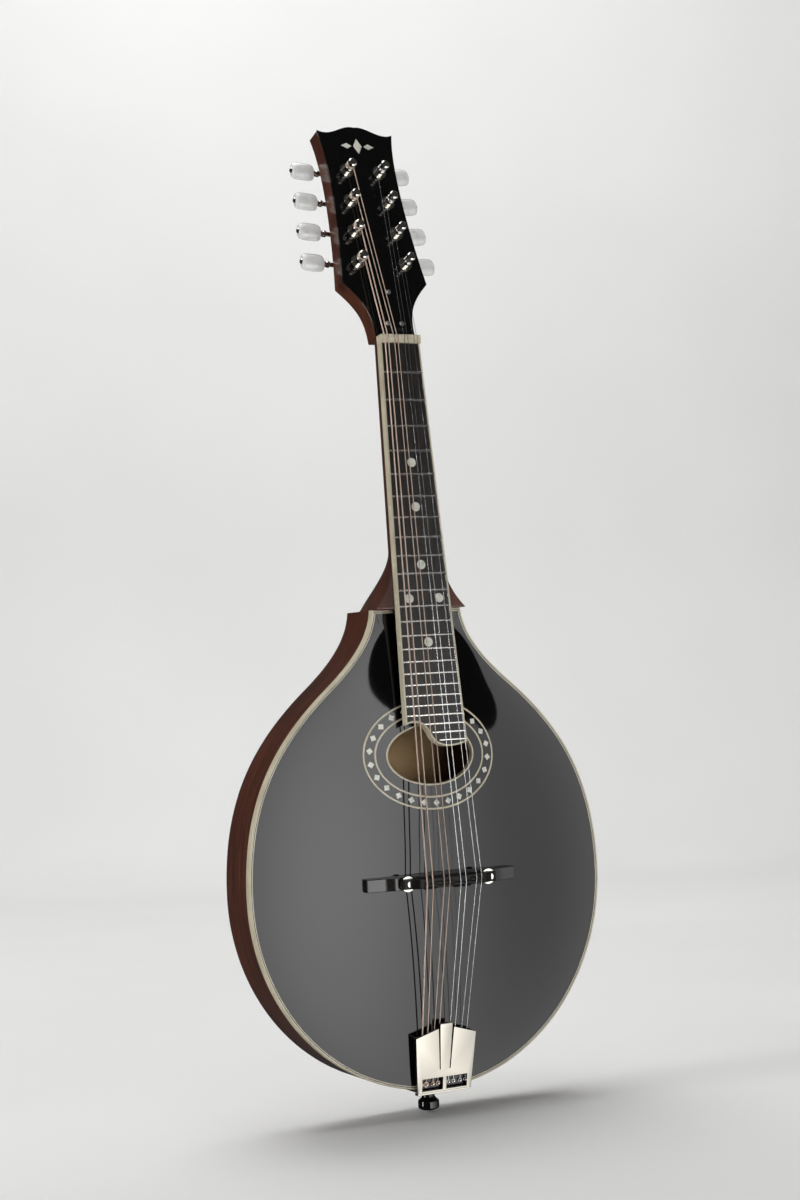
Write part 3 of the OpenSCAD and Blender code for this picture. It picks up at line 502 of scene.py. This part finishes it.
# ---- Camera ----
cam_data = bpy.data.cameras.new("view")
cam = bpy.data.objects.new("view", cam_data)
scene.collection.objects.link(cam)
forward = Vector((0.44948, 0.89260, 0.03504)).normalized()
up = Vector((0.03041, -0.05450, 0.99805))
right = forward.cross(up).normalized()
up = right.cross(forward).normalized()
cam.matrix_world = Matrix((
    (right.x, up.x, -forward.x, -0.63912),
    (right.y, up.y, -forward.y, -1.25825),
    (right.z, up.z, -forward.z, -0.21946),
    (0, 0, 0, 1)))
cam_data.sensor_fit = "VERTICAL"
cam_data.sensor_height = 36
cam_data.lens = 63.792
scene.camera = cam


# ---- Body ----
def hole_edge(q, grow):
    d = Vector((q[0] - HOLE[0], q[1] - HOLE[1])).normalized()
    k = 1 / math.hypot(d.x / (HOLE_HALF[0] + grow), d.y / (HOLE_HALF[1] + grow))
    return [HOLE[0] + d.x * k, HOLE[1] + d.y * k]


shares = [i / 44 for i in range(45)]
inner = [hole_edge(q, 1.1) for q in PLATE]
flat_rings = [[[a[0] + t * (b[0] - a[0]), a[1] + t * (b[1] - a[1])] for a, b in zip(inner, PLATE)]
              for t in shares]
upper = [[top_point(x, z, 0) for x, z in r] for r in flat_rings]
lower = [[top_point(x, z, -3.5 - 1.2 * dome(x, z, 1)) for x, z in r] for r in flat_rings[::-4]]
top = loft("arched_top", upper + lower, lacquer, "black_lacquer", looped=True, replaces=["soundboard"],
           sharp=40)
top.data.materials.append(bare)
for p in top.data.polygons:
    if p.normal.y > 0.3:
        p.material_index = 1

shares = [0.02, 0.06, 0.12] + [0.2 + 0.8 * i / 30 for i in range(31)]
flat_rings = [[[CENTRE[0] + t * (q[0] - CENTRE[0]), CENTRE[1] + t * (q[1] - CENTRE[1])] for q in CLOSED]
              for t in shares]
inside = [[back_point(x, z, 0) for x, z in r] for r in flat_rings]
edge = [[from_body([x, y, z]) for x, z in inset(CLOSED, d)]
        for d, y in ((0.0, 38.4), (0.35, 39.4), (1.2, 39.95))]
outside = [[from_body([x, RIM + back_height(x, z), z]) for x, z in r] for r in flat_rings[-2::-1]]
back = loft("arched_back", inside + edge + outside, mahogany_back, "mahogany", replaces=["back_plate"],
            sharp=40)
back.data.materials.append(bare_inside)
for p in back.data.polygons:
    if p.normal.y < -0.3:
        p.material_index = 1

# bent sides, with the grain running round them
wall = OUTLINE
inner_wall = PLATE[:len(OUTLINE)]
rows = [(wall, BIND_H), (wall, (BIND_H + 37) / 2), (wall, 37), (inner_wall, 37), (inner_wall, BIND_H)]
rings = [[from_body([x, y, z]) for x, z in line] for line, y in rows]
verts = [v for r in rings for v in r]
cols = len(wall)
faces = ring_faces(len(rings), cols, True, False)
faces += [tuple(r * cols for r in range(5)), tuple(r * cols + cols - 1 for r in range(5))]
rim = piece("bent_sides", verts, faces, mahogany_rim, "mahogany", replaces=["bass_side", "treble_side"],
            sharp=30)
rim.data.materials.append(bare_inside)
run = [0.0]
for a, b in zip(wall, wall[1:]):
    run.append(run[-1] + math.dist(a, b))
layer = rim.data.uv_layers.new(name="rim")
for p in rim.data.polygons:
    p.material_index = 0 if p.index // (cols - 1) < 2 else 1
    for loop in p.loop_indices:
        corner = rim.data.loops[loop].vertex_index
        layer.data[loop].uv = (run[corner % cols] * MM * 3, rim.data.vertices[corner].co.y * 3)


# edge binding: ivory, a black line and a second thin ivory line
def edge_ring(name, section, mat, slot, replaces=()):
    rings = [[from_body([x, y, z]) for x, z in inset(CLOSED, d)] for d, y in section]
    return loft(name, rings, mat, slot, looped=True, replaces=replaces, sharp=50)


edge_ring("binding_outer", [(0, 5.4), (0, 0.8), (0.15, 0.3), (0.5, 0.02), (1.25, 0), (1.25, 5.4)], ivory,
          "ivory_plastic", ["top_binding"])
edge_ring("binding_black_line", [(1.25, 2), (1.25, 0), (1.7, 0), (1.7, 2)], veneer, "black_veneer")
edge_ring("binding_inner_line", [(1.7, 2), (1.7, 0), (2.3, 0), (2.3, 2)], ivory, "ivory_plastic")


def oval(grow, n=200):
    turns = [2 * PI * i / n for i in range(n)]
    return [[(HOLE_HALF[0] + grow) * math.sin(a), HOLE[1] + (HOLE_HALF[1] + grow) * math.cos(a)] for a in turns]


parts = []
for low, high, depth in ((0, 1.1, 4.2), (7.8, 9, 0.9), (15.6, 16.8, 0.9)):
    a, b = oval(low), oval(high)
    m1, m2 = oval(low + 0.15), oval(high - 0.15)
    parts.append(lofted([
        [top_point(x, z, -depth) for x, z in a], [top_point(x, z, 0.0) for x, z in a],
        [top_point(x, z, 0.05) for x, z in m1], [top_point(x, z, 0.05) for x, z in m2],
        [top_point(x, z, 0.0) for x, z in b], [top_point(x, z, -depth) for x, z in b]], True))
joined("rosette_lines", parts, ivory, "ivory_plastic", replaces=["rosette_rings"], sharp=50)


# ---- Neck and headstock ----
def half_width(u):
    return 14.5 + (38.9 - 29) / SCALE * u


def smooth(t):
    c = max(0, min(1, t))
    return c * c * (3 - 2 * c)


def shaft_ring(u, n=44):
    t = (u - 138) / (SCALE / 2 - 138)
    c = max(0, t)
    w = half_width(u) - 0.2 + (SHOULDER_HALF - half_width(u)) * c ** 2.6
    d = 12.5 + 2 * min(1, max(0, u) / 138) + (40 + FRET_RISE - 6.6 - 14.5) * smooth(c ** 0.85 / 0.87)
    e = 0.8 - 0.38 * smooth(t)
    out = []
    for i in range(n + 1):
        a = PI * i / n
        ca = math.cos(a)
        deep = d * math.sin(a) ** e if 0 < i < n else 0
        out.append(from_neck([-w * math.copysign(1, ca) * abs(ca) ** e, 6.6 + deep, -u]))
    return out


stations = [-5, -2, 0] + [6 * i for i in range(1, 23)] + [136 + 1.25 * i for i in range(41)]
shaft = loft("neck_shaft", [shaft_ring(u) for u in stations], mahogany_z, "mahogany", replaces=["neck"],
             sharp=50)
bm = bmesh.new()
bm.from_mesh(shaft.data)
bmesh.ops.bisect_plane(bm, geom=bm.verts[:] + bm.edges[:] + bm.faces[:], plane_co=(0, 0, EDGE_Z * MM),
                       plane_no=(0, 0, -1), clear_outer=True)
bmesh.ops.holes_fill(bm, edges=bm.edges[:])
bm.to_mesh(shaft.data)
bm.free()

riser = [(0.5, -0.4), (75, -11), (75, -14.0), (0.5, -7.0)]
joined("neck_riser", [lofted([[from_body([x, y, -s]) for s, y in riser] for x in (-18, 18)])],
       veneer, "black_veneer")

head_half = (bez_points([[14.5, 0], [14, 18], [17.5, 26], [31.5, 40]], 24)
             + bez_points([[31.5, 40], [27, 72], [22, 128], [28.5, 156]], 24)
             + bez_points([[28.5, 156], [18, 151], [10, 162], [0, 160]], 24) + [[0, 160]])
head_outline = head_half + [[-x, z] for x, z in head_half[-2::-1]]
prism("headstock_core", head_outline, 1.5, HEAD_T, from_head, mahogany_z, "mahogany", bevel=0.8, sharp=40)
prism("headstock_face", head_outline, 0, 1.5, from_head, veneer, "black_veneer",
      replaces=["headstock_overlay"], bevel=0.3, sharp=40)

# ---- Strings ----
STRINGS = [
    (-11.95, -20, -16.2, 0.50, 1, 1.2), (-9.5, -16, -12.4, 0.50, 2, 1.2),
    (-4.95, -8, -7.6, 0.33, 3, 0), (-2.45, -4, -3.9, 0.33, 4, 0),
    (2.45, 4, 3.9, 0.20, 8, 1.5), (4.95, 8, 7.6, 0.20, 7, 1.5),
    (9.5, 16, 12.4, 0.14, 6, -0.5), (11.95, 20, 16.2, 0.14, 5, -0.5)]
wound, bright = [], []


def lip_z(x):
    return 45.6 if abs(x) < 4.5 else 37.7 + (22 - abs(x)) * 0.311


for x_nut, x_bridge, x_tail, r, k, back_by in STRINGS:
    at_post = from_tuner(k, [3 + r + 0.15, -4.6, 0])
    at_nut = from_neck([x_nut, -0.4 - r, NUT_T / 2])
    at_saddle = from_body([x_bridge, -string_height(x_bridge) - r, -BRIDGE_AT - back_by])
    at_lip = from_tail([x_tail, TAIL_GAP + r, lip_z(x_tail)])
    at_hook = from_tail([x_tail, TAIL_GAP + r, 5.9 + 2 * r + 0.25])
    route = [at_post, at_nut, at_saddle, at_lip, at_hook]
    group = wound if r > 0.3 else bright
    group.append(lofted(tube_rings(route, r, 12)))
    group.append(torus([x_tail, TAIL_GAP + r, 5], from_tail, 0.9 + r + 0.1, r))
    # turns round the post
    turns, steps = 3.6, 26
    coil = []
    for i in range(int(turns * steps) + 1):
        a = 2 * PI * i / steps
        out = 2.55 + r
        coil.append(from_tuner(k, [out * math.cos(a), -6.0 - r - 2.05 * r * i / steps, out * math.sin(a)]))
    joined(f"string_turns_{k}", [lofted(tube_rings(coil, r, 8))], bronze if r > 0.3 else plain,
           "bronze_winding" if r > 0.3 else "plain_steel", body=f"post_{k}")
joined("wound_string_pairs", wound, bronze, "bronze_winding", replaces=["wound_strings"], sharp=50)
joined("plain_string_pairs", bright, plain, "plain_steel", replaces=["plain_strings"], sharp=50)

# ---- Tuner buttons ----
for k in range(1, 9):
    rings = []
    for i in range(41):
        t = 0.5 - 0.5 * math.cos(PI * i / 40)
        g = 0.66 + 0.34 * (1 - abs(2 * t - 1) ** 4) ** 0.5
        rings.append([from_tuner(k, [-16.8 - 15.5 * t, WORM_Y + 4 * g * math.sin(2 * PI * j / 36),
                                     WORM_RISE + 6.3 * g * math.cos(2 * PI * j / 36)]) for j in range(36)])
    loft(f"tuner_button_{k}", rings, pearloid, "pearloid", body=f"tuner_{k}",
         replaces=[f"tuner_knob_{k}"], sharp=50)

# ---- Bridge ----
reach_x = 54
across_foot = [reach_x * (2 * i / 40 - 1) for i in range(41)]
foot_top = TOP_ARCH + 6.2
end_top = top_height(-reach_x, -BRIDGE_AT) + 0.15 + 6.4
under = [(x, top_height(x, -BRIDGE_AT) + 0.15) for x in across_foot]
over = [(54, end_top), (44, end_top + 1.6), (40, end_top + 2.4), (37, foot_top - 0.6), (33.5, foot_top),
        (-33.5, foot_top), (-37, foot_top - 0.6), (-40, end_top + 2.4), (-44, end_top + 1.6), (-54, end_top)]
rings = [[from_body([x, -h, -BRIDGE_AT + s * 4.15]) for x, h in under + over] for s in (-1, 1)]
loft("bridge_foot", rings, ebony_polished, "ebony", replaces=["bridge_base"], bevel=0.5, sharp=25)

floor_h = foot_top + 1.8 + 2.2 + 0.05
half = ([(33.2, floor_h), (34, floor_h + 1), (33.4, floor_h + 2.6)]
        + bez_points([[31, 28.4], [26, 28.8], [26.5, string_height(24) - 0.6],
                      [21.8, string_height(22) - 0.6]], 12)
        + [(x, string_height(x) - 0.6) for x in [21.8 - 21.8 * i / 12 for i in range(12)]]
        + [(0, string_height(0) - 0.6)])
crest = half + [(-x, h) for x, h in half[-2::-1]]
crest += [(-23, floor_h), (-19, floor_h + 2.2), (19, floor_h + 2.2), (23, floor_h)]
rings = [[from_body([x, -h, -BRIDGE_AT + s * 3.2]) for x, h in crest] for s in (-1, 1)]
loft("saddle_body", rings, ebony_dull, "ebony", body="saddle", replaces=["saddle"], bevel=0.45, sharp=25)
parts = []
for x0, x1, back_by in ((-21.6, -13, 1.2), (-13, -1, 0), (-1, 12, 1.5), (12, 21.6, -0.5)):
    xs = [x0 + (x1 - x0) * i / 8 for i in range(9)]
    section = ((-2.6, -1.2), (-1.0, -0.02), (0.4, -0.02), (2.0, -1.2))
    parts.append(lofted([
        [from_body([x, -(string_height(x) + h), -BRIDGE_AT - back_by * 0.9 + z]) for z, h in section]
        for x in xs]))
joined("saddle_crest", parts, ebony_dull, "ebony", body="saddle", sharp=30)

# ---- Tailpiece ----
cover = [[-19.6, 0], [19.6, 0], [22, 37.5], [5.6, 42.6], [3.9, 15], [3.3, 15], [4.5, 43], [4.4, 45.4],
         [-4.4, 45.4], [-4.5, 43], [-3.3, 15], [-3.9, 15], [-5.6, 42.6], [-22, 37.5]]
windows = [[[x, 1.4], [x + 15.1, 1.4], [x + 15.1, 9.6], [x, 9.6]] for x in (-16.4, 1.3)]
plate_with_holes("tailpiece_cover", [cover] + windows, 2, 0.2, from_tail, cast_nickel,
                 replaces=["tailpiece"])


def quad_bar(x0, x1, yz, place):
    return lofted([[place([x, y, z]) for y, z in yz] for x in (x0, x1)])


parts = []
wall_low = [-277.2, -283, -290, -298, -306, -BODY_LENGTH + 0.5]
for side in (-1, 1):
    ring_a, ring_b = [], []
    for ring, depth in ((ring_a, 0), (ring_b, 1.4)):
        ring.append(from_tail([side * (19.5 - depth), 1.2, 1.0]))
        ring.append(from_tail([side * (21.7 - depth), 1.2, 37.2]))
        for z in wall_low:
            x = 19.4 + 2.4 * (z + BODY_LENGTH) / 37.5 - depth
            ring.append(from_body([side * x, -top_height(20, z) - 0.4, z]))
    parts.append(lofted([ring_a, ring_b]))
back_z = -BODY_LENGTH - 2.1
for wide, y0, y1 in ((15, -3.4, 33), (19.4, -3.7, 0.7)):
    bar = [(y0, back_z), (y1, back_z), (y1, back_z + 1.5), (y0, back_z + 1.5)]
    parts.append(quad_bar(-wide, wide, bar, from_body))
joined("tailpiece_walls", parts, cast_nickel, "tailpiece_nickel", bevel=0.3, sharp=30)
# painted shade: a black sheet under the cover in place of the steel base plate, so the windows show dark
shade_sheet_yz = [(3.2, 0.5), (3.65, 0.5), (3.65, 9.8), (3.2, 9.8)]
joined("tailpiece_shade_sheet", [quad_bar(-18, 18, shade_sheet_yz, from_tail)], veneer, "black_veneer")
parts = []
for string in STRINGS:
    rings = []
    for y, r in ((3.4, 0.85), (1.1, 0.85), (0.8, 0.7), (0.62, 0.35)):
        turns = [2 * PI * j / 16 for j in range(16)]
        rings.append([from_tail([string[2] + r * math.cos(a), y, 5 + r * math.sin(a)]) for a in turns])
    parts.append(lofted(rings))
joined("tailpiece_hooks", parts, nickel, "nickel", sharp=50)

# end button, turned from one piece
lathe = [(0.2, 0), (6.3, 0), (6.5, 0.25), (6.5, 1.0), (6.2, 1.4), (4.7, 2.4), (4.3, 3.4), (4.2, 5), (4.5, 6.2),
         (5.6, 7.4), (6.7, 8.2), (7, 8.9), (7, 12.4)]
lathe += [(7 * math.cos(a), 12.6 + 2.4 * math.sin(a)) for a in [math.radians(d) for d in range(6, 90, 7)]]
turns = [2 * PI * j / 48 for j in range(48)]
rings = [[from_body([r * math.cos(a), BUTTON_Y + r * math.sin(a), -BODY_LENGTH - 2.15 - h]) for a in turns]
         for r, h in lathe]
loft("strap_button", rings, veneer, "black_veneer", replaces=["end_button"], sharp=50)

# ---- Materials of the CAD parts that stay ----
carried = {
    "linings": bare, "head_block": bare, "tail_block": bare, "transverse_brace": bare,
    "rosette_diamonds": pearl, "pearl_inlays": pearl, "label": paper, "heel_cap": veneer,
    "truss_rod": steel, "truss_rod_cover": veneer, "fingerboard": ebony, "fingerboard_binding": ivory,
    "frets": fret_metal, "nut": bone, "bass_tuner_plate": nickel, "treble_tuner_plate": nickel,
    "tuner_bushings": nickel, "small_screws": steel, "bridge_studs": nickel,
    "bass_thumbwheel": nickel, "treble_thumbwheel": nickel, "tailpiece_screws": steel,
}
for k in range(1, 9):
    carried[f"worm_shaft_{k}"] = nickel
    carried[f"string_post_{k}"] = nickel
for name, mat in carried.items():
    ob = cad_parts[name]
    ob.data.materials.clear()
    ob.data.materials.append(mat)


# ---- Studio ----
def sweep_material():
    m = material("studio_sweep", (0.88, 0.88, 0.87), rough=0.85)
    tint(m, noise(m, 2.5, 2), [(0.3, (0.86, 0.86, 0.85)), (0.7, (0.90, 0.90, 0.89))])
    return m


floor_z = cad_low.z / MM - 1
profile = [(-900, floor_z), (1500, floor_z)]
profile += [(1500 + 500 * math.sin(a), floor_z + 500 - 500 * math.cos(a))
            for a in [PI / 2 * i / 24 for i in range(1, 25)]]
profile += [(2000, floor_z + 2600)]
mesh = bpy.data.meshes.new("studio_sweep")
turn = math.radians(-26.7)
verts = []
for x in (-3200, 3200):
    for y, z in profile:
        verts.append([(x * math.cos(turn) - y * math.sin(turn)) * MM,
                      (x * math.sin(turn) + y * math.cos(turn)) * MM, z * MM])
n = len(profile)
mesh.from_pydata(verts, [], [(i, i + 1, n + i + 1, n + i) for i in range(n - 1)])
for p in mesh.polygons:
    p.use_smooth = True
sweep = bpy.data.objects.new("studio_sweep", mesh)
sweep.data.materials.append(sweep_material())
scene.collection.objects.link(sweep)
sweep.visible_glossy = False
sweep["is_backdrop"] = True


def softbox(name, centre, radius, az0, az1, z0, top_near, top_far, near, far):
    # a curved glowing panel round the object, whose brightness falls off from az0 to az1
    mesh = bpy.data.meshes.new(name)
    steps = 24
    verts = []
    for i in range(steps + 1):
        a = math.radians(az0 + (az1 - az0) * i / steps)
        for z in (z0, top_near + (top_far - top_near) * i / steps):
            verts.append((centre[0] + radius * math.sin(a), centre[1] - radius * math.cos(a), z))
    mesh.from_pydata(verts, [], [(2 * i, 2 * i + 2, 2 * i + 3, 2 * i + 1) for i in range(steps)])
    ob = bpy.data.objects.new(name, mesh)
    m = bpy.data.materials.new(name)
    m.use_nodes = True
    tree = m.node_tree
    tree.nodes.clear()
    out = tree.nodes.new("ShaderNodeOutputMaterial")
    glow = tree.nodes.new("ShaderNodeEmission")
    tc = tree.nodes.new("ShaderNodeTexCoord")
    sep = tree.nodes.new("ShaderNodeSeparateXYZ")
    rng = tree.nodes.new("ShaderNodeMapRange")
    rng.inputs["From Min"].default_value = centre[0] + radius * math.sin(math.radians(az0))
    rng.inputs["From Max"].default_value = centre[0] + radius * math.sin(math.radians(az1))
    rng.inputs["To Min"].default_value = near
    rng.inputs["To Max"].default_value = far
    tree.links.new(tc.outputs["Object"], sep.inputs["Vector"])
    tree.links.new(sep.outputs["X"], rng.inputs["Value"])
    tree.links.new(rng.outputs["Result"], glow.inputs["Strength"])
    tree.links.new(glow.outputs["Emission"], out.inputs["Surface"])
    mesh.materials.append(m)
    scene.collection.objects.link(ob)
    ob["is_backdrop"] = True
    return ob


softbox("key_softbox", (0, 0), 1.9, -9, 84, -2.0, 0.20, -0.10, 4.4, 0.5)


def area(name, centre, target, size, power, size_y=None):
    data = bpy.data.lights.new(name, "AREA")
    data.energy = power
    data.shape = "RECTANGLE"
    data.size = size
    data.size_y = size_y or size
    ob = bpy.data.objects.new(name, data)
    ob.location = centre
    ob.rotation_euler = (Vector(target) - Vector(centre)).to_track_quat("-Z", "Y").to_euler()
    scene.collection.objects.link(ob)
    return ob


area("overhead", (-0.2, 0.2, 1.9), (-0.1, 0.35, -0.4), 1.8, 26)
area("backdrop_wash", (0.2, 0.9, 1.9), (0.9, 1.9, -0.1), 1.6, 20)
area("left_strip", (-1.9, 0.1, -0.1), (-0.1, 0.05, -0.3), 0.35, 18, 1.4)

world = bpy.data.worlds.new("studio")
scene.world = world
world.use_nodes = True
world.node_tree.nodes["Background"].inputs["Color"].default_value = (0.035, 0.035, 0.035, 1)
world.node_tree.nodes["Background"].inputs["Strength"].default_value = 1
scene.view_settings.view_transform = "Standard"

low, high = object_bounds()
